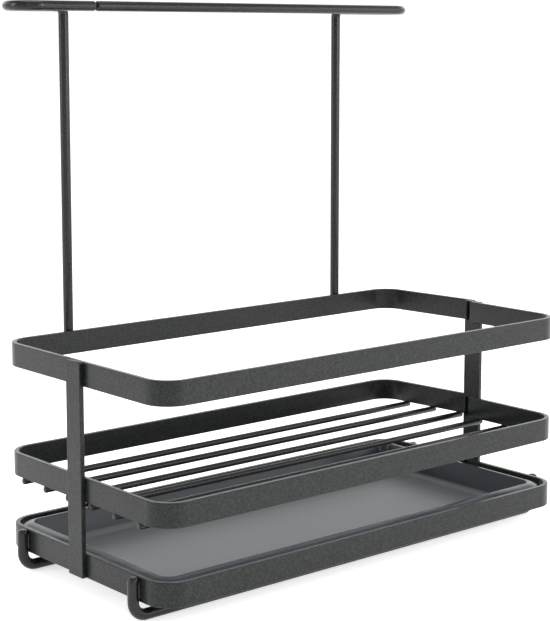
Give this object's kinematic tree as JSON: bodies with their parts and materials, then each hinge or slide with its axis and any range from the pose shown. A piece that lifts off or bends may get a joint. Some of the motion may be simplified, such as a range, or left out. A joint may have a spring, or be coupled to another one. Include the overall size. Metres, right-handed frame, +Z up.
{
  "type": "dish drying rack",
  "caption": "Two-tier sink caddy of bent flat bar with a wire shelf, a lift-out drip tray and a tall cloth rail behind.",
  "frame": {"origin": "on the worktop, in the middle of the whole rack's footprint", "axes": "+X along the long side, to the right seen from the front; +Y to the back, where the cloth rail stands; +Z up"},
  "size_m": [0.2834, 0.143, 0.2869],
  "materials": {
    "flat_bar": "fine textured powder coat, anthracite, satin",
    "wire": "fine textured powder coat, anthracite, satin",
    "tray": "satin moulded ABS, slate grey"
  },
  "bodies": {
    "rack": {"upper_ring": "flat_bar", "middle_ring": "flat_bar", "lower_ring": "flat_bar", "left_post": "flat_bar", "right_post": "flat_bar", "shelf_wire_1": "wire", "shelf_wire_2": "wire", "shelf_wire_3": "wire", "shelf_wire_4": "wire", "shelf_wire_5": "wire", "shelf_wire_6": "wire", "front_foot_wire": "wire", "rear_foot_wire": "wire", "left_rail_wire": "wire", "right_rail_wire": "wire"},
    "tray": {"drip_tray": "tray"}
  },
  "joints": [
    {"name": "tray_lift", "type": "slide", "parent": "rack", "child": "tray", "axis": [0, 0, 1], "range_m": [0, 0.022]}
  ]
}
